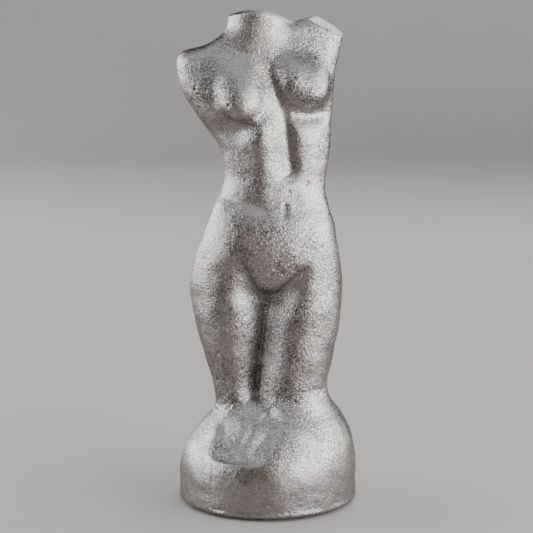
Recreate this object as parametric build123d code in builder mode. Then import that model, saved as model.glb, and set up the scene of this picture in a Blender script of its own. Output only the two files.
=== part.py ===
from build123d import *
import os
from math import cos, exp, pi, radians, sin

# Small cast-metal torso statuette. A figure with no head or arms, cut off above the knees,
# stands in a socket in a lopsided domed base. One screw from beneath holds it, a bead of filler
# runs round the joint, and a cloth disc under the base keeps it from scratching the table.
# Millimetres. The origin is the centre of the disc's underside, +Z is up and -Y is the front.

# Driving dimensions
overall_height = 192.0
base_radius = 35.0
base_edge_round = 1.5
seat_height = 34.0
disc_radius = 31.0
disc_thickness = 1.0

# Fixing screw, an M6 socket head with its plain washer, in a counterbore under the base
screw_radius = 3.0
screw_length = 25.0
screw_point = 1.0
screw_head_radius = 5.0
screw_head_height = 6.0
screw_head_chamfer = 0.6
screw_key_width = 5.0
screw_key_depth = 3.0
tapped_clearance = 0.05
tapped_spare_depth = 3.0
washer_radius = 6.0
washer_bore_radius = 3.2
washer_thickness = 1.6
shank_hole_radius = 3.3
counterbore_radius = 7.5
counterbore_top = 19.0
under_head = counterbore_top - washer_thickness

# How far the filler bead stands out from the legs and up from the dome
bead_width = 2.0
bead_height = 1.8
bead_floor = seat_height + 3.0

# Level cuts through the trunk: height, left edge, right edge, front, back and how many degrees it
# is turned towards its right
trunk_cuts = [
    (76.0, -26.5, 26.0, -4.0, 15.0, 0.0),
    (81.0, -29.0, 28.2, -10.0, 17.5, 0.0),
    (86.0, -29.9, 28.6, -15.6, 19.0, 0.0),
    (94.0, -28.7, 27.8, -18.4, 19.0, 0.0),
    (102.0, -26.4, 27.1, -19.0, 17.5, 1.0),
    (110.0, -24.0, 26.0, -18.0, 15.0, 2.0),
    (118.0, -20.9, 23.5, -15.3, 12.5, 4.0),
    (126.0, -17.3, 22.3, -12.8, 11.5, 5.0),
    (134.0, -17.3, 23.5, -12.4, 12.0, 6.0),
    (141.0, -19.4, 24.3, -12.6, 13.0, 6.0),
    (148.0, -24.4, 24.6, -12.8, 14.2, 6.0),
    (155.0, -29.2, 25.1, -12.6, 15.2, 5.0),
    (162.0, -33.2, 25.5, -11.6, 15.4, 5.0),
    (169.0, -34.9, 26.2, -9.4, 15.0, 5.0),
    (176.0, -34.9, 27.9, -6.6, 14.0, 5.0),
    (183.0, -34.6, 29.4, -3.8, 13.0, 5.0),
    (191.0, -34.0, 29.4, -1.4, 12.0, 5.0),
]
trunk_fullness = 2.25

# The same through the two thighs, which stand in the base, and through the neck stump
left_thigh_cuts = [
    (seat_height, -20.6, -3.6, -12.4, 11.5, 0.0),
    (42.0, -20.7, -3.5, -12.6, 12.0, 0.0),
    (50.0, -22.5, -3.0, -13.2, 13.5, 0.0),
    (60.0, -25.6, -1.9, -14.8, 16.0, 0.0),
    (70.0, -28.3, -0.6, -16.0, 18.0, 0.0),
    (80.0, -29.9, 0.8, -16.4, 19.5, 0.0),
    (90.0, -29.5, 2.0, -15.8, 20.0, 0.0),
    (100.0, -26.5, 2.5, -14.0, 17.5, 0.0),
]
right_thigh_cuts = [
    (seat_height, -4.0, 22.2, -17.4, 8.5, 0.0),
    (42.0, -4.0, 22.6, -17.6, 9.5, 0.0),
    (50.0, -3.6, 23.9, -17.8, 12.0, 0.0),
    (60.0, -2.7, 26.2, -17.6, 14.5, 0.0),
    (70.0, -1.8, 28.1, -17.4, 17.0, 0.0),
    (80.0, -1.0, 28.9, -17.0, 18.5, 0.0),
    (90.0, -0.5, 28.3, -15.6, 19.0, 0.0),
    (100.0, -0.5, 26.3, -14.0, 17.0, 0.0),
]
neck_cuts = [
    (168.0, -18.0, 9.0, -4.0, 14.0, 0.0),
    (176.0, -16.8, 7.8, -5.0, 14.0, 0.0),
    (184.0, -15.6, 6.8, -6.4, 13.2, 0.0),
    (195.0, -15.0, 6.6, -7.6, 12.4, 0.0),
]
limb_fullness = 2.05
outline_points = 28

# How many of the lowest thigh rows the filler bead needs
foot_rows = 4

# Rounded masses that stand out of the trunk: side (-1 front, 1 back), place across, height,
# half width, half height and how far the mass stands out
trunk_masses = [
    (-1, -10.4, 156.0, 7.5, 7.5, 5.5),
    (-1, 14.5, 161.5, 7.0, 7.0, 5.5),
    (1, -13.5, 88.0, 9.5, 10.0, 4.5),
    (1, 13.5, 86.0, 9.5, 10.0, 4.0),
    (1, -13.0, 162.0, 8.0, 11.0, 3.0),
    (1, 12.0, 163.0, 8.0, 11.0, 3.0),
]

# Top edge of the shoulders from the front, and the slope at the neck stump's top
shoulder_curve = [
    (-37.0, 176.0),
    (-31.0, 177.2),
    (-24.0, 179.0),
    (-17.0, 183.0),
    (-4.0, 187.0),
    (10.0, 188.0),
    (20.0, 191.0),
]
neck_top_curve = [
    (-22.0, 187.0),
    (-15.0, 190.2),
    (-4.0, overall_height),
    (2.0, 190.9),
    (7.0, 188.4),
    (14.0, 184.0),
]

# Places clear of the statuette, where the tools that cut it begin and end
above_everything = overall_height + 10.0
past_right_side = base_radius + 5.0
right_through = 2 * base_radius

# Flats where the arms are cut off
left_stump_cut = Plane(origin=(-32.6, -5.5, 171.0), z_dir=(-0.90, -0.43, 0.06))
right_stump_cut = Plane(origin=(15.2, 6.0, 190.6), z_dir=(0.49, -0.24, 0.84))

# Level circles through the dome: height, middle across and radius
dome_cuts = [
    (disc_thickness, 0.0, base_radius),
    (8.0, 0.0, base_radius),
    (14.0, 0.1, base_radius - 0.1),
    (19.0, 0.4, 34.3),
    (23.0, 0.9, 33.2),
    (27.0, 1.8, 31.2),
    (31.0, 2.6, 28.8),
    (35.0, 3.2, 25.8),
    (39.0, 3.6, 21.9),
    (42.5, 3.8, 17.2),
]

# The flat knocked off the dome's front left, and the small ledge that it ends on
flat_slope = radians(49.8)
flat_turn = radians(23.6)
flat_facing = (
    -sin(flat_slope) * sin(flat_turn),
    -sin(flat_slope) * cos(flat_turn),
    cos(flat_slope),
)
flat_cut = Plane(origin=(-11.8, -28.8, 22.5), z_dir=flat_facing)
ledge_height = 21.9


def outline(cut, fullness, grow=0.0, masses=()):
    """Points round a body at one level: a squarish oval, turned, with masses standing out of it."""
    height, left, right, front, back, turn = cut
    c, s = cos(radians(turn)), sin(radians(turn))
    half_deep = (back - front) / 2
    half_wide = (((right - left) / 2) ** 2 - (half_deep * s) ** 2) ** 0.5 / c
    points = []
    for step in range(outline_points):
        angle = 2 * pi * step / outline_points
        across = (half_wide + grow) * full(cos(angle), fullness)
        deep = (half_deep + grow) * full(sin(angle), fullness)
        x = (left + right) / 2 + across * c - deep * s
        y = (front + back) / 2 + across * s + deep * c
        for side, mass_x, mass_z, mass_wide, mass_high, out in masses:
            if side * sin(angle) > 0:
                spread = ((x - mass_x) / mass_wide) ** 2 + ((height - mass_z) / mass_high) ** 2
                y += sin(angle) * out * exp(-spread)
        points.append((x, y))
    return points


def full(share, fullness):
    """A sine or cosine raised so that the outline is squarer than an ellipse, which is 2."""
    return abs(share) ** (2 / fullness) * (1 if share > 0 else -1)


def levels(cuts, fullness, grow=0.0, masses=()):
    """A body's level outlines, as sketches to loft through."""
    sketches = []
    for cut in cuts:
        with BuildSketch(Plane.XY.offset(cut[0])) as level:
            with BuildLine():
                Spline(*outline(cut, fullness, grow, masses), periodic=True)
            make_face()
        sketches.append(level.sketch)
    return sketches


def dome_levels(grow=0.0):
    """The dome's level circles, as sketches to loft through."""
    sketches = []
    for height, middle, radius in dome_cuts:
        lift = 0 if height == disc_thickness else grow
        with BuildSketch(Plane.XY.offset(height + lift)) as level:
            with Locations((middle, 0)):
                Circle(radius + grow)
        sketches.append(level.sketch)
    return sketches


# Neck stump, with its top cut to a slope
with BuildPart() as neck_stump:
    loft(levels(neck_cuts, limb_fullness))
    with BuildSketch(Plane.XZ):
        with BuildLine():
            top = Spline(*neck_top_curve)
            Polyline(top @ 1, ((top @ 1).X, above_everything), ((top @ 0).X, above_everything), top @ 0)
        make_face()
    extrude(amount=right_through, both=True, mode=Mode.SUBTRACT)
    split(bisect_by=Plane.XY.offset(overall_height), keep=Keep.BOTTOM)

# The two thighs down to their seat in the base
with BuildPart() as thighs:
    loft(levels(left_thigh_cuts, limb_fullness))
    loft(levels(right_thigh_cuts, limb_fullness))

# Torso casting, from the cut thighs to the neck
with BuildPart() as torso_casting:
    loft(levels(trunk_cuts, trunk_fullness, masses=trunk_masses))
    with BuildSketch(Plane.XZ):
        with BuildLine():
            slope = Spline(*shoulder_curve)
            Polyline(
                slope @ 1,
                (past_right_side, shoulder_curve[-1][1]),
                (past_right_side, above_everything),
                ((slope @ 0).X, above_everything),
                slope @ 0,
            )
        make_face()
    extrude(amount=right_through, both=True, mode=Mode.SUBTRACT)
    add(thighs.part)
    add(neck_stump.part)
    split(bisect_by=left_stump_cut, keep=Keep.BOTTOM)
    split(bisect_by=right_stump_cut, keep=Keep.BOTTOM)
    with Locations(Plane(origin=(0, 0, seat_height), z_dir=(0, 0, -1))):
        screw_reach = under_head + screw_length - seat_height
        Hole(radius=screw_radius + tapped_clearance, depth=screw_reach + tapped_spare_depth)

torso_casting.part.label = "torso_casting"

# What the flat takes off the dome, down to the ledge
with BuildPart() as flat_tool:
    with BuildSketch(flat_cut):
        Rectangle(right_through, right_through)
    extrude(amount=right_through)
    split(bisect_by=Plane.XY.offset(ledge_height), keep=Keep.TOP)

# The dome before anything is let into it
with BuildPart() as whole_dome:
    loft(dome_levels())
    with BuildSketch(Plane.XY.offset(disc_thickness)):
        Circle(base_radius)
    extrude(amount=overall_height, mode=Mode.INTERSECT)
    add(flat_tool.part, mode=Mode.SUBTRACT)
    fillet(whole_dome.edges().group_by(Axis.Z)[0], radius=base_edge_round)

# Domed base, with the socket that the legs stand in and the screw's counterbore
with BuildPart() as domed_base:
    add(whole_dome.part)
    add(torso_casting.part, mode=Mode.SUBTRACT)
    with Locations(Plane(origin=(0, 0, disc_thickness), z_dir=(0, 0, -1))):
        CounterBoreHole(
            radius=shank_hole_radius,
            counter_bore_radius=counterbore_radius,
            counter_bore_depth=counterbore_top - disc_thickness,
        )
domed_base.part.label = "domed_base"

# Bead of filler, which fills the corner where the legs leave the dome
with BuildPart() as swollen_dome:
    loft(dome_levels(bead_height))
    split(bisect_by=flat_cut.offset(bead_height), keep=Keep.BOTTOM)

with BuildPart() as joint_bead:
    loft(levels(left_thigh_cuts[:foot_rows], limb_fullness, bead_width))
    loft(levels(right_thigh_cuts[:foot_rows], limb_fullness, bead_width))
    split(bisect_by=Plane.XY.offset(bead_floor), keep=Keep.TOP)
    add(swollen_dome.part, mode=Mode.INTERSECT)
    add(whole_dome.part, mode=Mode.SUBTRACT)
    add(thighs.part, mode=Mode.SUBTRACT)
joint_bead.part.label = "joint_bead"

# Fixing screw, head down in the counterbore
with BuildPart() as fixing_screw:
    with BuildSketch(Plane.XY.offset(under_head - screw_head_height)):
        Circle(screw_head_radius)
    extrude(amount=screw_head_height)
    chamfer(fixing_screw.edges().group_by(Axis.Z)[0], length=screw_head_chamfer)
    with BuildSketch(Plane.XY.offset(under_head)):
        Circle(screw_radius)
    extrude(amount=screw_length)
    chamfer(fixing_screw.edges().group_by(Axis.Z)[-1], length=screw_point)
    with BuildSketch(Plane.XY.offset(under_head - screw_head_height)):
        RegularPolygon(radius=screw_key_width / 2, side_count=6, major_radius=False)
    extrude(amount=screw_key_depth, mode=Mode.SUBTRACT)
fixing_screw.part.label = "fixing_screw"

# Plain washer between the screw's head and the counterbore's end
with BuildPart() as washer:
    with BuildSketch(Plane.XY.offset(under_head)):
        Circle(washer_radius)
        Circle(washer_bore_radius, mode=Mode.SUBTRACT)
    extrude(amount=washer_thickness)
washer.part.label = "washer"

# Cloth disc glued under the base, which also hides the screw
with BuildPart() as cloth_disc:
    with BuildSketch():
        Circle(disc_radius)
    extrude(amount=disc_thickness)
cloth_disc.part.label = "cloth_disc"

os.makedirs("parts", exist_ok=True)
for piece in (torso_casting, domed_base, joint_bead, fixing_screw, washer, cloth_disc):
    export_step(piece.part, f"parts/{piece.part.label}.step")
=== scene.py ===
from math import cos, pi, radians, sin

import bmesh
import bpy
import numpy as np
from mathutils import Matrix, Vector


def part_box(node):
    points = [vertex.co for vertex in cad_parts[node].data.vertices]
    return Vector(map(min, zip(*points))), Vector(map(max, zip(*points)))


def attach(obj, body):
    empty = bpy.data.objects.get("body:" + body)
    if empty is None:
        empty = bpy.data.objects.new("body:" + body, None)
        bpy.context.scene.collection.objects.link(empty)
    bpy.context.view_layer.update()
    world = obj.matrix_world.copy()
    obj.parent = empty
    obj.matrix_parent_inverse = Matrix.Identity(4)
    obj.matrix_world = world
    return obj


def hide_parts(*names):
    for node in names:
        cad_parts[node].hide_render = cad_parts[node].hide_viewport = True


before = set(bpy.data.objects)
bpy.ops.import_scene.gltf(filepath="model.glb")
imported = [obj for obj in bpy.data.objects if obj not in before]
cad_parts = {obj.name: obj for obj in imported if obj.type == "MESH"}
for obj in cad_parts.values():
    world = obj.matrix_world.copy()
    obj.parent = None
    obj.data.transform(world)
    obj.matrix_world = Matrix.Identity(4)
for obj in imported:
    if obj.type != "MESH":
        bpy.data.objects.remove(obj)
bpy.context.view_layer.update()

import openvdb
from mathutils import Vector

# ------------------------------------------------------------------ torso casting
# The figure: one solid aluminium sand casting, filed a little on its high places. It is modelled
# as clay is, as masses pressed together and then worked over with strokes. All places are in
# millimetres as (across, deep, up); -deep is the front.

mm = 0.001
coarse = 1.0


class Clay:
    """A block of space on an even grid. Its methods return how far each point is outside a shape."""

    def __init__(self, low, high, step):
        self.low, self.step = np.array(low), step
        lines = [np.arange(a, b + step, step, dtype=np.float32) for a, b in zip(low, high)]
        self.x, self.y, self.z = np.meshgrid(*lines, indexing="ij", sparse=True)

    def even(self, field):
        """Turns any field that is zero on the surface into millimetres near the surface."""
        least = 0.02
        steepness = np.sqrt(sum(slope * slope for slope in np.gradient(field, self.step)))
        return field / np.maximum(steepness, least)

    def column(self, levels, fullness=2.25):
        """An upright body through level outlines: up, left, right, front, back, turn in degrees."""
        levels = np.array(levels, float)
        left, right, front, back, turn = (
            ease(levels[:, 0], levels[:, part], self.z) for part in range(1, 6)
        )
        c, s = np.cos(np.radians(turn)), np.sin(np.radians(turn))
        deep_half = (back - front) / 2
        wide_half = np.sqrt(((right - left) / 2) ** 2 - (deep_half * s) ** 2) / c
        x, y = self.x - (left + right) / 2, self.y - (front + back) / 2
        across, deep = abs(x * c + y * s) / wide_half, abs(y * c - x * s) / deep_half
        ring = (across**fullness + deep**fullness) ** (1 / fullness)
        ends = np.maximum(levels[0, 0] - self.z, self.z - levels[-1, 0])
        return np.maximum(self.even(ring - 1), ends)

    def ball(self, middle, radii, turn=0.0, lean=0.0):
        """A ball or an egg with its own half sizes, turned about the upright axis and leant back."""
        c, s = cos(radians(turn)), sin(radians(turn))
        x, y, z = self.x - middle[0], self.y - middle[1], self.z - middle[2]
        deep = y * c - x * s
        c_lean, s_lean = cos(radians(lean)), sin(radians(lean))
        offsets = (x * c + y * s, deep * c_lean - z * s_lean, z * c_lean + deep * s_lean)
        near = np.sqrt(sum((d / r) ** 2 for d, r in zip(offsets, radii)))
        pull = np.sqrt(sum((d / r**2) ** 2 for d, r in zip(offsets, radii)))
        return near * (near - 1) / np.maximum(pull, 1e-3)

    def plane(self, point, facing):
        """The side of a flat that its facing points away from."""
        facing = np.array(facing) / np.linalg.norm(facing)
        return sum((p - o) * f for p, o, f in zip((self.x, self.y, self.z), point, facing))

    def stroke(self, route, width, depth, side=-1, crisp=2.0):
        """A tool mark down the front (side -1) or the back (side 1), through (across, up, strength)
        points. Of its two widths the first is on the left hand of someone who walks along it."""
        route = np.array(route, float)
        lengths = np.hypot(*np.diff(route[:, :2], axis=0).T)
        along = np.concatenate([[0], np.cumsum(lengths)])
        spacing = min(min(width) / 2, 0.5)
        marks = np.linspace(0, along[-1], int(along[-1] / spacing) + 2)
        across, up, push = (ease(along, route[:, part], marks) for part in range(3))
        x, z = self.x[:, 0, :], self.z[:, 0, :]
        nearest, reach = np.full((x.shape[0], z.shape[1]), 1e9), np.zeros((x.shape[0], z.shape[1]))
        for n, (px, pz, strength) in enumerate(zip(across, up, push)):
            ahead = min(n, len(marks) - 2)
            run, rise = across[ahead + 1] - across[ahead], up[ahead + 1] - up[ahead]
            left_hand = run * (z - pz) - rise * (x - px) > 0
            distance = np.hypot(x - px, z - pz)
            mark = strength * np.exp(-((distance / np.where(left_hand, *width)) ** crisp))
            reach = np.where(distance < nearest, mark, reach)
            nearest = np.minimum(nearest, distance)
        fade = 6.0
        facing = np.clip(0.5 + side * self.y / fade, 0, 1)
        return depth * reach[:, None, :].astype(np.float32) * facing

    def skin(self, field, name):
        """The surface of a shape as a mesh in metres, its faces outwards."""
        grid = openvdb.FloatGrid()
        grid.copyFromArray(np.ascontiguousarray(field, dtype=np.float32))
        points, quads = grid.convertToQuads(isovalue=0)
        points = (points * self.step + self.low) * mm
        a, b, c, d = (points[quads[:, corner]] for corner in range(4))
        if np.einsum("ij,ij->i", a, np.cross(b - a, c - a) + np.cross(c - a, d - a)).sum() < 0:
            quads = quads[:, ::-1]
        mesh = bpy.data.meshes.new(name)
        mesh.from_pydata(points.tolist(), [], quads.tolist())
        mesh.polygons.foreach_set("use_smooth", [True] * len(mesh.polygons))
        return mesh


def ease(places, values, at):
    """A smooth line through values at places, read where asked and level beyond its ends."""
    slopes = np.gradient(values, places)
    i = np.clip(np.searchsorted(places, at) - 1, 0, len(places) - 2)
    gap = (places[i + 1] - places[i]).astype(np.float32)
    t = np.clip((at - places[i]) / gap, 0, 1)
    start = (1 + 2 * t) * (1 - t) ** 2 * values[i] + t * (1 - t) ** 2 * gap * slopes[i]
    return start + t * t * (3 - 2 * t) * values[i + 1] - t * t * (1 - t) * gap * slopes[i + 1]


def join(a, b, blend):
    """Two shapes pressed together, with clay smoothed into the corner over the blend."""
    share = np.clip(0.5 + (b - a) / (2 * blend), 0, 1)
    return b + (a - b) * share - blend * share * (1 - share)


def cut(a, b, blend):
    """What of the first shape lies inside the second, its new edge rounded over the blend."""
    return -join(-a, -b, blend)


figure_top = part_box("torso_casting")[1].z / mm
foot_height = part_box("torso_casting")[0].z / mm

# Level outlines of each part: up, left, right, front, back and turn in degrees
torso_levels = [
    (76, -26.5, 26, -4.0, 15.0, 0),
    (81, -29, 28.2, -10.0, 17.5, 0),
    (86, -29.9, 28.6, -15.6, 19.0, 0),
    (94, -28.7, 27.8, -18.4, 19.0, 0),
    (102, -26.4, 27.1, -19.0, 17.5, 1),
    (110, -24.0, 26.0, -18.0, 15.0, 2),
    (118, -20.9, 23.5, -15.3, 12.5, 4),
    (126, -17.3, 22.3, -12.8, 11.5, 5),
    (134, -17.3, 23.5, -12.4, 12.0, 6),
    (141, -19.4, 24.3, -12.6, 13.0, 6),
    (148, -24.4, 24.6, -12.8, 14.2, 6),
    (155, -29.2, 25.1, -12.6, 15.2, 5),
    (162, -33.2, 25.5, -11.6, 15.4, 5),
    (169, -34.9, 26.2, -9.4, 15.0, 5),
    (176, -34.9, 27.9, -6.6, 14.0, 5),
    (183, -34.6, 29.4, -3.8, 13.0, 5),
    (191, -34.0, 29.4, -1.4, 12.0, 5),
]
left_thigh_levels = [
    (foot_height - 1, -20.6, -3.6, -12.4, 11.5, 0),
    (42, -20.7, -3.5, -12.6, 12.0, 0),
    (50, -22.5, -3.0, -13.2, 13.5, 0),
    (60, -25.6, -1.9, -14.8, 16.0, 0),
    (70, -28.3, -0.6, -16.0, 18.0, 0),
    (80, -29.9, 0.8, -16.4, 19.5, 0),
    (90, -29.5, 2.0, -15.8, 20.0, 0),
    (100, -26.0, 2.0, -13.0, 16.0, 0),
    (110, -17.0, 0.0, -8.0, 9.0, 0),
]
right_thigh_levels = [
    (foot_height - 1, -4.0, 22.2, -17.4, 8.5, 0),
    (42, -4.0, 22.6, -17.6, 9.5, 0),
    (50, -3.6, 23.9, -17.8, 12.0, 0),
    (60, -2.7, 26.2, -17.6, 14.5, 0),
    (70, -1.8, 28.1, -17.4, 17.0, 0),
    (80, -1.0, 28.9, -17.0, 18.5, 0),
    (90, -0.5, 28.3, -15.6, 19.0, 0),
    (100, 0.0, 26.0, -13.0, 16.0, 0),
    (110, 2.0, 19.0, -8.0, 9.0, 0),
]
neck_levels = [
    (168, -18.0, 9.0, -4.0, 14.0, 0),
    (176, -16.8, 7.8, -5.0, 14.0, 0),
    (184, -15.6, 6.8, -6.4, 13.2, 0),
    (200, -15.0, 6.6, -7.6, 12.4, 0),
]
limb_fullness = 2.05
neck_fullness = 2.0

# Top edges seen from the front, as (across, up) points, and how softly they are rounded
shoulder_line = [
    (-40, 175.5),
    (-31, 177.2),
    (-24, 179.0),
    (-17, 183.0),
    (-4, 187.0),
    (10, 188.0),
    (20, 191),
]
shoulder_rounding = 4.0
neck_line = [
    (-22, 187.0),
    (-15, 190.2),
    (-9, 191.8),
    (-4, figure_top),
    (2, 190.9),
    (7, 188.4),
    (14, 184.0),
]
neck_rounding = 1.2

# How far the clay is smoothed between the neck, the trunk and the legs
neck_blend = 4.5
thigh_blend = 8.0
hip_blend = 3.0

# Flats where the arms are cut off: a point, the way they face and the rounding of their edge
left_cut = (-32.6, -5.5, 171.0), (-0.90, -0.43, 0.06)
left_cut_rounding = 0.3
right_cut = (15.2, 6.0, 190.6), (0.49, -0.24, 0.84)
right_cut_rounding = 0.5

# The tapped hole in the feet, which runs on past the screw's point
tap_radius = 3.05
tap_spare = 3.0
tap_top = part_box("fixing_screw")[1].z / mm + tap_spare

# Masses pressed onto the trunk: middle, half sizes, turn, lean back and blend
figure_masses = [
    # Left breast, right breast and the fullness on its inner side
    ((-10.2, -9.2, 162.3), (8.8, 6.2, 13.0), 4, 25, 3.0),
    ((14.8, -5.4, 164.5), (8.2, 6.0, 10.0), 8, 28, 5.0),
    ((8.6, -5.8, 167.0), (5.6, 5.4, 8.0), 0, 28, 4.0),
    # Seat
    ((-13.0, 9.5, 88.0), (12.0, 12.5, 11.5), 0, 0, 5.0),
    ((13.5, 8.5, 85.0), (12.0, 12.5, 11.5), 0, 0, 5.0),
    # Shoulder blades
    ((-13.5, 9.0, 162.0), (9.0, 8.5, 12.0), 0, 0, 4.0),
    ((11.5, 10.5, 163.0), (9.0, 8.5, 12.0), 0, 0, 4.0),
]

# Tool marks: (across, up, strength) points, two widths, depth (less than 0 stands out), crispness
front_marks = [
    # Left side of the belly's muscle, which stands out, and the flatter right side
    (
        [(-4, 153, 0), (-3, 147, 1), (-2.0, 136, 1), (-1.5, 126, 0.6), (-2, 120, 0)],
        (6.5, 6.5), -2.2, 2.0,
    ),
    # Trough of the middle line, with its sharp left wall
    (
        [(-1, 173, 0), (2.4, 162.5, 0.8), (5.8, 152.5, 1), (7.2, 141.7, 1),
         (8.4, 132, 0.8), (8.8, 127, 0)],
        (3.0, 4.0), 2.9, 1.8,
    ),
    # Soft crease over the left hip
    (
        [(-20, 122.5, 0.4), (-15, 121.0, 1), (-9, 120.0, 1), (-3, 118.5, 0.6), (1, 116, 0)],
        (1.4, 3.0), 0.75, 1.8,
    ),
    # Navel
    ([(7.0, 118.4, 1), (6.9, 115.4, 1)], (0.75, 0.75), 1.5, 2.0),
    # Creases of the groin: sharp towards the belly, soft towards the thighs
    (
        [(-13, 101, 0), (-9, 95.4, 0.6), (-6, 89.2, 1), (-2.7, 85.3, 1), (0.3, 83.9, 1),
         (3.3, 85.0, 1), (5.9, 86.9, 1), (11.2, 91.5, 0.7), (16, 96, 0)],
        (1.1, 5.5), 2.9, 1.6,
    ),
    # Undersides of the breasts
    (
        [(-21, 152, 0), (-17, 148.6, 1), (-12.5, 146.8, 1), (-7.5, 147.8, 0.5), (-3, 151, 0)],
        (4.4, 3.4), 2.3, 1.8,
    ),
    (
        [(6, 156.5, 0.1), (10, 153.8, 0.8), (15, 152.6, 1), (20, 152.8, 0.8), (25, 156, 0)],
        (5.2, 3.2), 2.5, 1.8,
    ),
    # Gap between the thighs, narrow at the top, with the mould's thin parting flash in it
    (
        [(0.8, 84.5, 0.2), (-0.2, 78, 0.6), (-1.6, 66, 0.8), (-3.4, 50, 1), (-3.8, 34, 0.8)],
        (0.8, 2.4), 1.9, 1.5,
    ),
    ([(0.5, 78, 0), (-1.2, 66, 1), (-3.0, 50, 1), (-3.4, 34, 1)], (0.45, 0.45), -0.8, 2.0),
]
back_marks = [
    # Hollow of the spine
    (
        [(-3, 184, 0), (-2, 172, 0.8), (0, 155, 1), (2.5, 135, 1), (3.5, 118, 0.8), (2, 104, 0)],
        (3.0, 3.0), 1.8, 2.0,
    ),
    # Cleft of the seat and the folds under it
    (
        [(1.5, 102, 0), (0.5, 97, 0.8), (0, 90, 1), (-0.4, 83, 0.8), (-0.8, 76, 0)],
        (2.0, 2.0), 2.6, 1.6,
    ),
    ([(-24, 77, 0), (-15, 74.5, 1), (-5, 75.5, 0.8), (-1, 78, 0)], (1.6, 1.6), 0.9, 1.6),
    ([(24, 73, 0), (15, 71.5, 1), (5, 73, 0.8), (0, 77, 0)], (1.6, 1.6), 0.9, 1.6),
]


def lie_under(clay, line):
    """Everything under a line drawn across the front: (across, up) points."""
    places, heights = np.array(line, float).T
    above = clay.z - ease(places, heights, clay.x)
    return clay.even(above + 0 * clay.y)


def figure_shape(clay):
    """The whole figure."""
    body = clay.column(torso_levels)
    body = cut(body, lie_under(clay, shoulder_line), shoulder_rounding)
    neck = cut(clay.column(neck_levels, neck_fullness), lie_under(clay, neck_line), neck_rounding)
    body = join(body, neck, neck_blend)
    for middle, radii, turn, lean, blend in figure_masses:
        body = join(body, clay.ball(middle, radii, turn, lean), blend)
    left_thigh = clay.column(left_thigh_levels, limb_fullness)
    right_thigh = clay.column(right_thigh_levels, limb_fullness)
    body = join(body, join(left_thigh, right_thigh, thigh_blend), hip_blend)
    for side, marks in ((-1, front_marks), (1, back_marks)):
        for route, width, depth, crisp in marks:
            body = body + clay.stroke(route, width, depth, side, crisp)
    body = cut(body, clay.plane(*left_cut), left_cut_rounding)
    body = cut(body, clay.plane(*right_cut), right_cut_rounding)
    tapped_hole = np.maximum(np.hypot(clay.x, clay.y) - tap_radius, clay.z - tap_top)
    return np.maximum(np.maximum(body, -tapped_hole), foot_height - clay.z)


class Link:
    """A socket of a node tree. Arithmetic on it adds Math nodes; node() adds any other node."""

    def __init__(self, tree, socket=None):
        self.tree, self.socket = tree, socket

    def node(self, kind, sockets=(), out=0, stops=(), **settings):
        """Adds a node with its settings, colour stops and sockets, and gives its output back."""
        made = self.tree.nodes.new(kind)
        for name, value in settings.items():
            setattr(made, name, value)
        if stops:
            for stop, (place, shade) in zip(made.color_ramp.elements, stops):
                stop.position = place
                stop.color = (*shade, 1)
        for name, value in dict(sockets).items():
            if isinstance(value, Link):
                self.tree.links.new(value.socket, made.inputs[name])
            else:
                made.inputs[name].default_value = value
        return Link(self.tree, made.outputs[out] if made.outputs else None)

    def math(self, operation, one, two):
        return self.node("ShaderNodeMath", {0: one, 1: two}, operation=operation)

    def __add__(self, other):
        return self.math("ADD", self, other)

    def __sub__(self, other):
        return self.math("SUBTRACT", self, other)

    def __rsub__(self, other):
        return self.math("SUBTRACT", other, self)

    def __mul__(self, other):
        return self.math("MULTIPLY", self, other)

    def __rtruediv__(self, other):
        return self.math("DIVIDE", other, self)

    __radd__, __rmul__ = __add__, __mul__

    def over(self, low, high):
        """0 below the low value, 1 above the high one and smooth between."""
        ends = {"Value": self, "From Min": low, "From Max": high}
        return self.node("ShaderNodeMapRange", ends, interpolation_type="SMOOTHSTEP")


skin_sizes = (
    "Grain Size",
    "Grain Depth",
    "Hill Size",
    "Hill Height",
    "Pit Spacing",
    "Pit Depth",
    "Still Below",
    "Smooth Below",
)


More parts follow.
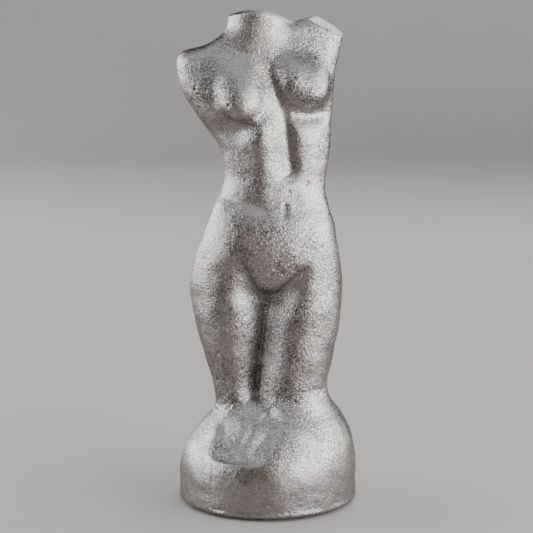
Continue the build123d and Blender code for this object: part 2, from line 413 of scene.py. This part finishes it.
def sand_skin():
    """The node tree that works sand's grain, hand-worked hills and gas pits into a casting."""
    tree = bpy.data.node_groups.new("sand_skin", "GeometryNodeTree")
    face = tree.interface
    face.new_socket("Geometry", in_out="INPUT", socket_type="NodeSocketGeometry")
    for name in skin_sizes:
        face.new_socket(name, in_out="INPUT", socket_type="NodeSocketFloat")
    face.new_socket("Metal", in_out="INPUT", socket_type="NodeSocketMaterial")
    face.new_socket("Geometry", in_out="OUTPUT", socket_type="NodeSocketGeometry")
    entry = tree.nodes.new("NodeGroupInput")
    size = {socket.name: Link(tree, socket) for socket in entry.outputs}
    start = Link(tree)
    place = start.node("GeometryNodeInputPosition")

    def noise(spacing, detail, seed):
        return start.node(
            "ShaderNodeTexNoise",
            {"Vector": place, "W": seed, "Scale": 1.0 / spacing, "Detail": detail},
            noise_dimensions="4D",
        )

    def marked(shape, name, value):
        return start.node(
            "GeometryNodeStoreNamedAttribute",
            {"Geometry": shape, "Name": name, "Value": value},
            data_type="FLOAT",
            domain="POINT",
        )

    grain = noise(size["Grain Size"], 2.0, 3.0).over(0.32, 0.68)
    hills = noise(size["Hill Size"], 1.0, 7.0).over(0.25, 0.75)

    # A pit in some of the cells that the surface is shared out into
    cell_scale = 1.0 / size["Pit Spacing"]
    cells = start.node("ShaderNodeTexVoronoi", {"Vector": place, "Scale": cell_scale})
    chance = noise(size["Pit Spacing"], 0.0, 11.0).over(0.5, 0.62)
    pits = (1 - cells.over(0.05, 0.2)) * chance

    # Filed smoother below one height, and not moved at all below another
    up = place.node("ShaderNodeSeparateXYZ", {0: place}, out=2)
    filed = size["Smooth Below"]
    left_rough = 0.6
    rough = left_rough + (1 - left_rough) * up.over(filed - 8 * mm, filed + 6 * mm)
    still = up.over(size["Still Below"], size["Still Below"] + 2 * mm)

    height = (grain - 1) * rough * size["Grain Depth"]
    height = height + (hills - 1) * size["Hill Height"]
    height = height - pits * size["Pit Depth"]
    normal = start.node("GeometryNodeInputNormal")
    moves = {0: normal, "Scale": height * still}
    push = start.node("ShaderNodeVectorMath", moves, operation="SCALE")
    shape = start.node("GeometryNodeSetPosition", {"Geometry": size["Geometry"], "Offset": push})
    shape = marked(shape, "sand_pits", pits)
    shape = marked(shape, "sand_rough", rough)
    whole = start.node("GeometryNodeRealizeInstances", {"Geometry": shape})
    done = start.node("GeometryNodeSetMaterial", {"Geometry": whole, "Material": size["Metal"]})
    exit_node = tree.nodes.new("NodeGroupOutput")
    tree.links.new(done.socket, exit_node.inputs[0])
    return tree


def worked(piece, tree, values):
    """Runs a node tree over a piece with the given input values and keeps the result as its mesh."""
    modifier = piece.modifiers.new(tree.name, "NODES")
    modifier.node_group = tree
    for item in tree.interface.items_tree:
        if item.in_out == "INPUT" and item.name in values:
            modifier[item.identifier] = values[item.name]
    graph = bpy.context.evaluated_depsgraph_get()
    result = bpy.data.meshes.new_from_object(piece.evaluated_get(graph))
    piece.modifiers.remove(modifier)
    piece.data = result
    result.name = piece.name


def cast_metal(name):
    """Cast aluminium: grey, grainy and dull in its hollows, bright where it has been rubbed."""
    metal = bpy.data.materials.new(name)
    metal.use_nodes = True
    tree = metal.node_tree
    tree.nodes.clear()
    start = Link(tree)
    place = start.node("ShaderNodeTexCoord", out=3)

    def noise(size, detail, roughness=0.5):
        return start.node(
            "ShaderNodeTexNoise",
            {"Vector": place, "Scale": 1 / (size * mm), "Detail": detail, "Roughness": roughness},
        )

    fine = noise(0.55, 2.0, roughness=0.6)
    sand = noise(1.1, 2.0)
    clouds = noise(14.0, 3.0)
    pits = start.node("ShaderNodeAttribute", out=2, attribute_name="sand_pits")
    rough = start.node("ShaderNodeAttribute", out=2, attribute_name="sand_rough")

    # Relief of the grain
    fine_share = 0.6
    height = (fine * fine_share + sand * (1 - fine_share)) * rough
    relief = {"Strength": 1.0, "Distance": 0.36 * mm, "Height": height}
    bump = start.node("ShaderNodeBump", relief)

    # Bare metal, with soot between the grains, in patches, and in the pits
    bare_stops = [(0.35, (0.76, 0.755, 0.74)), (0.65, (0.88, 0.875, 0.87))]
    bare = start.node("ShaderNodeValToRGB", {0: clouds}, stops=bare_stops)
    soot = (0.12, 0.112, 0.105, 1)
    dull = sand.over(0.35, 0.65) * rough
    specks = fine.over(0.38, 0.62)
    patches = 0.3 + 0.5 * clouds.over(0.42, 0.58)
    soot_share = (1 - specks) * rough * patches + (1 - dull) * 0.1 + pits * 0.5
    colours = {0: soot_share, 6: bare, 7: soot}
    colour = start.node("ShaderNodeMix", colours, out=2, data_type="RGBA")

    shader = start.node(
        "ShaderNodeBsdfPrincipled",
        {"Base Color": colour, "Metallic": 1.0, "Roughness": 0.32 - dull * 0.12, "Normal": bump},
    )
    start.node("ShaderNodeOutputMaterial", {"Surface": shader})
    return metal


def cast_piece(name, clay, field):
    """A casting's skin as an object in the scene."""
    piece = bpy.data.objects.new(name, clay.skin(field, name))
    bpy.context.collection.objects.link(piece)
    return piece


figure_block = (-37, -24, foot_height - 1.5), (32, 27, figure_top + 2)
figure_step = 0.6 * coarse
figure_clay = Clay(*figure_block, figure_step)
figure = cast_piece("torso_casting_skin", figure_clay, figure_shape(figure_clay))
skin_tree = sand_skin()
figure_skin = {
    "Grain Size": 1.2 * mm,
    "Grain Depth": 0.07 * mm,
    "Hill Size": 8 * mm,
    "Hill Height": 0.28 * mm,
    "Pit Spacing": 5 * mm,
    "Pit Depth": 0.4 * mm,
    "Still Below": 0.0,
    "Smooth Below": 0.0,
    "Metal": cast_metal("cast_figure"),
}
worked(figure, skin_tree, figure_skin)
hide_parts("torso_casting")
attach(figure, "root")

# ------------------------------------------------------------------ domed base
# A second casting: a drum with a lopsided dome on it, and a flat knocked off the dome's front
# left. The drum is filed smoother than the dome, and the legs stand in a socket in the dome's top.

drum_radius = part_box("domed_base")[1].x / mm
base_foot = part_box("domed_base")[0].z / mm

# Level circles: up, middle across and radius
dome_levels = [
    (0, 0.0, drum_radius),
    (8, 0.0, drum_radius),
    (14, 0.1, drum_radius - 0.1),
    (19, 0.4, 34.3),
    (23, 0.9, 33.2),
    (27, 1.8, 31.2),
    (31, 2.6, 28.8),
    (35, 3.2, 25.8),
    (39, 3.6, 21.9),
    (43, 3.8, 16.5),
    (47, 3.9, 4.0),
]
edge_round = 1.5
dome_top = 42.5
dome_top_rounding = 2.0

# The flat knocked off the dome, and the ledge that it ends on
flat_point = (-11.8, -28.8, 22.5)
flat_slope = radians(49.8)
flat_turn = radians(23.6)
flat_facing = (
    -sin(flat_slope) * sin(flat_turn),
    -sin(flat_slope) * cos(flat_turn),
    cos(flat_slope),
)
flat_rounding = 0.5
ledge_height = 21.9
ledge_rounding = 1.0

shank_hole_radius = 3.3
counterbore_radius = 7.5
counterbore_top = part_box("washer")[1].z / mm

# Tool marks, in the same form as the figure's
base_marks = [
    # Scoop across the flat with a raised lip on its right
    (
        [(3.0, 41, 0), (1.7, 38.9, 1), (-3.5, 33, 1), (-8.6, 26.6, 0.9), (-11, 24, 0)],
        (2.0, 2.9), 1.35, 1.8,
    ),
    (
        [(3.4, 37, 0), (1.7, 34.3, 1), (-2.5, 30.6, 1), (-6, 27.5, 0.7), (-8.5, 24.5, 0)],
        (1.9, 1.7), -0.8, 1.8,
    ),
    # Low place at the flat's upper left and the swelling beside it
    ([(-20, 37, 0), (-17.5, 33, 1), (-17, 28, 0.6), (-17, 25, 0)], (2.4, 2.4), 0.6, 2.0),
    ([(-12, 38, 0), (-10, 34, 1), (-11, 29, 0.7), (-12, 26, 0)], (2.6, 2.6), -0.6, 2.0),
    # Upright dent and two hairline cracks in the drum
    ([(-21.3, 18.8, 0.4), (-21.5, 15, 1), (-21.3, 12, 0.3)], (0.45, 0.45), 0.3, 2.0),
    ([(-22.2, 3.6, 0.3), (-19, 3.2, 1), (-16.3, 3.5, 0.3)], (0.35, 0.35), 0.45, 2.0),
    ([(-4.8, 7.0, 0.3), (-1, 6.9, 1), (2.8, 6.3, 0.3)], (0.35, 0.35), 0.4, 2.0),
]


def dome_shape(clay):
    """The base before the legs are let into it and its holes are made."""
    up, middle, radius = np.array(dome_levels, float).T
    away = np.hypot(clay.x - ease(up, middle, clay.z), clay.y)
    body = clay.even(away - ease(up, radius, clay.z))
    flat = join(clay.plane(flat_point, flat_facing), clay.z - ledge_height, ledge_rounding)
    body = cut(body, flat, flat_rounding)
    body = cut(body, clay.z - dome_top, dome_top_rounding)
    for route, width, depth, crisp in base_marks:
        body = body + clay.stroke(route, width, depth, crisp=crisp)
    return cut(body, base_foot - clay.z, edge_round)


def base_shape(clay):
    """The whole base: the dome with the legs' socket, the screw's hole and its counterbore."""
    axis = np.hypot(clay.x, clay.y)
    counterbore = np.maximum(axis - counterbore_radius, clay.z - counterbore_top)
    holes = np.minimum(axis - shank_hole_radius, counterbore)
    return np.maximum(np.maximum(dome_shape(clay), -holes), -figure_shape(clay))


base_block = (-37, -37, base_foot - 1), (37, 37, 48)
base_step = 0.55 * coarse
base_clay = Clay(*base_block, base_step)
base = cast_piece("domed_base_skin", base_clay, base_shape(base_clay))
base_skin = {
    "Grain Size": 1.2 * mm,
    "Grain Depth": 0.08 * mm,
    "Hill Size": 9 * mm,
    "Hill Height": 0.28 * mm,
    "Pit Spacing": 5 * mm,
    "Pit Depth": 0.12 * mm,
    "Still Below": base_foot * mm + 1 * mm,
    "Smooth Below": ledge_height * mm,
    "Metal": cast_metal("cast_base"),
}
worked(base, skin_tree, base_skin)
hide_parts("domed_base")
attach(base, "root")

# ------------------------------------------------------------------ joint bead
# Metal filler worked into the corner round the legs. At the right it is a smooth hollow, and at the
# front left it is ragged, with a pinhole at its corner.

bead_overlap = 0.5
ragged_reach = 2.4
hollow_reach = 4.0
lump_reach = 0.3
hollow_from, hollow_over = 2.0, 14.0
pinhole_middle = (-20.4, -12.6, 41.2)
pinhole_radii = (0.9, 1.6, 0.9)


def bead_shape(clay):
    """A fillet between legs and dome, reaching further at the right and lumpy at the left."""
    legs, dome = figure_shape(clay), dome_shape(clay)
    rightness = np.clip((clay.x - hollow_from) / hollow_over, 0, 1) ** 2
    lumps = np.sin(1.3 * clay.x + 1.7 * clay.z) + np.sin(2.3 * clay.x - 1.9 * clay.z + 2)
    reach = ragged_reach + hollow_reach * rightness + lump_reach * lumps * (1 - rightness)
    body = join(legs, dome, reach)
    body = np.maximum(body, -np.minimum(legs, dome) - bead_overlap)
    return np.maximum(body, -clay.ball(pinhole_middle, pinhole_radii))


bead_block = (-26, -24, 36), (29, 18, 49)
bead_step = 0.36 * coarse
bead_clay = Clay(*bead_block, bead_step)
bead = cast_piece("joint_bead_skin", bead_clay, bead_shape(bead_clay))
bead_skin = {
    "Grain Size": 1.0 * mm,
    "Grain Depth": 0.16 * mm,
    "Hill Size": 3 * mm,
    "Hill Height": 0.15 * mm,
    "Pit Spacing": 3 * mm,
    "Pit Depth": 0.3 * mm,
    "Still Below": 0.0,
    "Smooth Below": 0.0,
    "Metal": cast_metal("joint_filler"),
}
worked(bead, skin_tree, bead_skin)
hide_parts("joint_bead")
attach(bead, "root")

# ------------------------------------------------------------------ fixing screw and washer
# A zinc-plated M6 socket head screw with a knurled head, turned up into the figure's tapped hole
# through a plain washer. Both are hidden in the counterbore by the cloth disc.


def turned(rings, segments, name):
    """A closed lathe-turned mesh through (radius, height) rings in millimetres, from pole to pole.
    A ring's radius may be an array with one value for each segment."""
    angles = np.arange(segments) * 2 * pi / segments
    points = [(0, 0, rings[0][1])]
    for radius, height in rings:
        across = radius + 0 * angles
        points += zip(across * np.cos(angles), across * np.sin(angles), height + 0 * angles)
    points.append((0, 0, rings[-1][1]))
    last = len(points) - 1
    faces = []
    for n in range(segments):
        after = (n + 1) % segments
        faces.append((0, 1 + after, 1 + n))
        faces.append((last, last - segments + n, last - segments + after))
        for ring in range(len(rings) - 1):
            low = 1 + ring * segments
            faces.append((low + n, low + after, low + segments + after, low + segments + n))
    mesh = bpy.data.meshes.new(name)
    mesh.from_pydata((np.array(points) * mm).tolist(), [], faces)
    turn_outwards(mesh)
    piece = bpy.data.objects.new(name, mesh)
    bpy.context.collection.objects.link(piece)
    return piece


def turn_outwards(mesh):
    """Makes all faces of a closed mesh face outwards."""
    work = bmesh.new()
    work.from_mesh(mesh)
    bmesh.ops.recalc_face_normals(work, faces=work.faces)
    work.to_mesh(mesh)
    work.free()


screw_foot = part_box("fixing_screw")[0].z / mm
screw_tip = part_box("fixing_screw")[1].z / mm
head_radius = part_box("fixing_screw")[1].x / mm
under_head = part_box("washer")[0].z / mm
thread_radius = 3.0
thread_pitch = 1.0
thread_depth = 0.54
rings_a_turn = 8
point_radius = thread_radius - 1
key_half = 2.5
key_depth = 3.0
key_chamfer = 0.2
head_chamfer = 0.6
knurl_depth = 0.14
knurl_teeth = 36
screw_segments = 144
round_screw = np.arange(screw_segments) * 2 * pi / screw_segments
hexagon = key_half / np.cos((round_screw % (pi / 3)) - pi / 6)
knurl = head_radius - knurl_depth * abs(np.sin(knurl_teeth / 2 * round_screw))
screw_rings = [
    (hexagon * 0.5, screw_foot + key_depth),
    (hexagon, screw_foot + key_depth),
    (hexagon, screw_foot + key_chamfer),
    (hexagon + key_chamfer, screw_foot),
    (head_radius - head_chamfer, screw_foot),
    (head_radius - knurl_depth, screw_foot + head_chamfer),
    (knurl, screw_foot + 0.8),
    (knurl, under_head - 0.7),
    (head_radius - knurl_depth, under_head - 0.5),
    (head_radius - 0.3, under_head),
    (thread_radius, under_head),
]
for height in np.arange(under_head + 0.1, screw_tip, thread_pitch / rings_a_turn):
    phase = (height / thread_pitch - round_screw / (2 * pi)) % 1
    groove = thread_depth * np.clip(abs(2 * phase - 1) * 1.25 - 0.1, 0, 1)
    grown = min(1, (height - under_head) / thread_pitch)
    point = point_radius + screw_tip - height
    screw_rings.append((np.minimum(thread_radius - groove * grown, point), height))
screw_rings.append((point_radius, screw_tip))


def zinc_plate(name):
    """Bright zinc plating: cool grey, a little cloudy."""
    metal = bpy.data.materials.new(name)
    metal.use_nodes = True
    tree = metal.node_tree
    tree.nodes.clear()
    start = Link(tree)
    place = start.node("ShaderNodeTexCoord", out=3)
    cloud_size = 1.5 * mm
    clouds = start.node(
        "ShaderNodeTexNoise", {"Vector": place, "Scale": 1 / cloud_size, "Detail": 3.0}
    )
    plating = [(0.35, (0.50, 0.52, 0.55)), (0.65, (0.66, 0.67, 0.69))]
    shade = start.node("ShaderNodeValToRGB", {0: clouds}, stops=plating)
    shader = start.node(
        "ShaderNodeBsdfPrincipled",
        {"Base Color": shade, "Metallic": 1.0, "Roughness": 0.22 + 0.16 * clouds},
    )
    start.node("ShaderNodeOutputMaterial", {"Surface": shader})
    return metal


zinc = zinc_plate("zinc_steel")
screw = turned(screw_rings, screw_segments, "fixing_screw_thread")
screw.data.materials.append(zinc)
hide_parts("fixing_screw")
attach(screw, "root")
for washer_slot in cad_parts["washer"].material_slots:
    washer_slot.material = zinc

# ------------------------------------------------------------------ cloth disc
# A disc of dark wool felt, glued under the base to keep the metal off the table. It hides the
# screw, and its cut edge is a little uneven.

felt_low, felt_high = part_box("cloth_disc")
felt_radius = felt_high.x / mm
felt_thickness = (felt_high.z - felt_low.z) / mm
felt_segments = 240
felt_steps = 12
round_disc = np.arange(felt_segments) * 2 * pi / felt_segments
uneven = 0.10 + 0.06 * np.sin(7 * round_disc) + 0.04 * np.sin(23 * round_disc + 1)
cut_edge = felt_radius - uneven
face_radii = [felt_radius * step / felt_steps for step in range(1, felt_steps)]
felt_rings = [(radius, 0.0) for radius in face_radii]
felt_rings += [
    (cut_edge - 0.25, 0.0),
    (cut_edge - 0.06, 0.12),
    (cut_edge, 0.4 * felt_thickness),
    (cut_edge - 0.04, 0.85 * felt_thickness),
    (cut_edge - 0.2, felt_thickness),
]
felt_rings += [(radius, felt_thickness) for radius in reversed(face_radii)]


def wool_felt(name):
    """Pressed dark wool, with short fibres lying every way."""
    cloth = bpy.data.materials.new(name)
    cloth.use_nodes = True
    tree = cloth.node_tree
    tree.nodes.clear()
    start = Link(tree)
    place = start.node("ShaderNodeTexCoord", out=3)
    fibre_size, pill_size = 0.45 * mm, 3 * mm
    tangle = start.node(
        "ShaderNodeTexNoise",
        {"Vector": place, "Scale": 1 / fibre_size, "Detail": 3.0, "Distortion": 2.5},
    )
    pills = start.node(
        "ShaderNodeTexNoise", {"Vector": place, "Scale": 1 / pill_size, "Detail": 2.0}
    )
    wool = [(0.35, (0.012, 0.013, 0.014)), (0.65, (0.045, 0.046, 0.050))]
    shade = start.node("ShaderNodeValToRGB", {0: tangle * 0.7 + pills * 0.3}, stops=wool)
    bump = start.node("ShaderNodeBump", {"Strength": 1.0, "Distance": 0.25 * mm, "Height": tangle})
    shader = start.node(
        "ShaderNodeBsdfPrincipled",
        {"Base Color": shade, "Roughness": 0.95, "Sheen Weight": 0.35, "Normal": bump},
    )
    start.node("ShaderNodeOutputMaterial", {"Surface": shader})
    return cloth


felt = turned(felt_rings, felt_segments, "cloth_disc_felt")
felt.data.materials.append(wool_felt("cloth"))
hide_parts("cloth_disc")
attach(felt, "root")

# ------------------------------------------------------------------ floor, lights and camera
# A round sheet of pale paper that bends up into a wall on every side, lamps as large as windows,
# and the camera a little above the statuette. Metres.

cove_floor, cove_bend, cove_top = 1.15, 0.4, 1.7
cove_segments = 96
floor_rings, bend_rings = 4, 12
cove_profile = [(ring / floor_rings * cove_floor, 0.0) for ring in range(1, floor_rings + 1)]
for ring in range(1, bend_rings + 1):
    angle = radians(90 * ring / bend_rings)
    cove_profile.append((cove_floor + cove_bend * sin(angle), cove_bend * (1 - cos(angle))))
cove_profile.append((cove_floor + cove_bend, cove_top))
cove_points = [(0, 0, 0)]
for radius, height in cove_profile:
    for segment in range(cove_segments):
        angle = 2 * pi * segment / cove_segments
        cove_points.append((radius * cos(angle), radius * sin(angle), height))
cove_faces = []
for segment in range(cove_segments):
    after = (segment + 1) % cove_segments
    cove_faces.append((0, 1 + segment, 1 + after))
    for ring in range(len(cove_profile) - 1):
        low = 1 + ring * cove_segments
        high = low + cove_segments
        cove_faces.append((low + segment, high + segment, high + after, low + after))
cove_mesh = bpy.data.meshes.new("floor_cove")
cove_mesh.from_pydata(cove_points, [], cove_faces)
cove_mesh.polygons.foreach_set("use_smooth", [True] * len(cove_faces))
floor = bpy.data.objects.new("floor_cove", cove_mesh)
bpy.context.collection.objects.link(floor)


def pale_paper(name, mirrored):
    """Matt pale paper, with a painted reflection: in the metal it shows as dark as the mirrored
    colour.
    """
    paper = bpy.data.materials.new(name)
    paper.use_nodes = True
    tree = paper.node_tree
    tree.nodes.clear()
    start = Link(tree)
    pale = (0.62, 0.61, 0.60, 1)
    # Painted reflection: glossy rays, such as those off the metal, see the mirrored colour instead
    # of the pale one
    in_metal = start.node("ShaderNodeLightPath", out=3)
    colours = {0: in_metal, 6: pale, 7: mirrored}
    tint = start.node("ShaderNodeMix", colours, out=2, data_type="RGBA")
    shader = start.node("ShaderNodeBsdfPrincipled", {"Base Color": tint, "Roughness": 0.9})
    start.node("ShaderNodeOutputMaterial", {"Surface": shader})
    return paper


# Painted reflections in the metal: the floor shows darker and warmer than it is, the wall nearly
# black
cove_mesh.materials.append(pale_paper("pale_floor", (0.26, 0.225, 0.21, 1)))
cove_mesh.materials.append(pale_paper("pale_wall", (0.015, 0.012, 0.010, 1)))
is_wall = [cove_points[face[1]][2] > 0 for face in cove_faces]
cove_mesh.polygons.foreach_set("material_index", [int(wall) for wall in is_wall])

room = bpy.data.worlds.new("dim_room")
room.use_nodes = True
room_light = room.node_tree.nodes["Background"].inputs
room_light["Color"].default_value = (0.018, 0.015, 0.013, 1)
room_light["Strength"].default_value = 1.0
bpy.context.scene.world = room

lamp_target = Vector((0, 0, 0.1))
lamp_distance = 0.9


def softbox(name, azimuth, elevation, size, power, color=(1, 1, 1)):
    """A soft light, its azimuth counted from the camera's side towards the right."""
    a, e = radians(azimuth), radians(elevation)
    towards = Vector((sin(a) * cos(e), -cos(a) * cos(e), sin(e)))
    data = bpy.data.lights.new(name, "AREA")
    data.shape = "RECTANGLE"
    data.size, data.size_y = size
    data.energy = power
    data.color = color
    lamp = bpy.data.objects.new(name, data)
    lamp.visible_camera = False
    lamp.location = lamp_target + lamp_distance * towards
    lamp.rotation_euler = (lamp_target - lamp.location).to_track_quat("-Z", "Y").to_euler()
    bpy.context.collection.objects.link(lamp)


softbox("window_right", 72, 12, (1.85, 0.60), 12.5)
softbox("window_left", -108, 14, (1.70, 0.60), 8.5)
softbox("ceiling", -6, 70, (1.4, 1.4), 3.2)
softbox("skylight", 148, 34, (0.9, 0.5), 2.6)
softbox("tan_card", 11, 2, (0.22, 0.7), 0.3, (1.0, 0.62, 0.42))

camera_pitch = radians(90 - 10.05)
camera_data = bpy.data.cameras.new("camera")
camera_data.lens = 131.0
camera_data.clip_start = 0.01
camera = bpy.data.objects.new("camera", camera_data)
camera.location = (-0.00045, -0.745, 0.225)
camera.rotation_euler = (camera_pitch, 0, 0)
bpy.context.collection.objects.link(camera)
bpy.context.scene.camera = camera
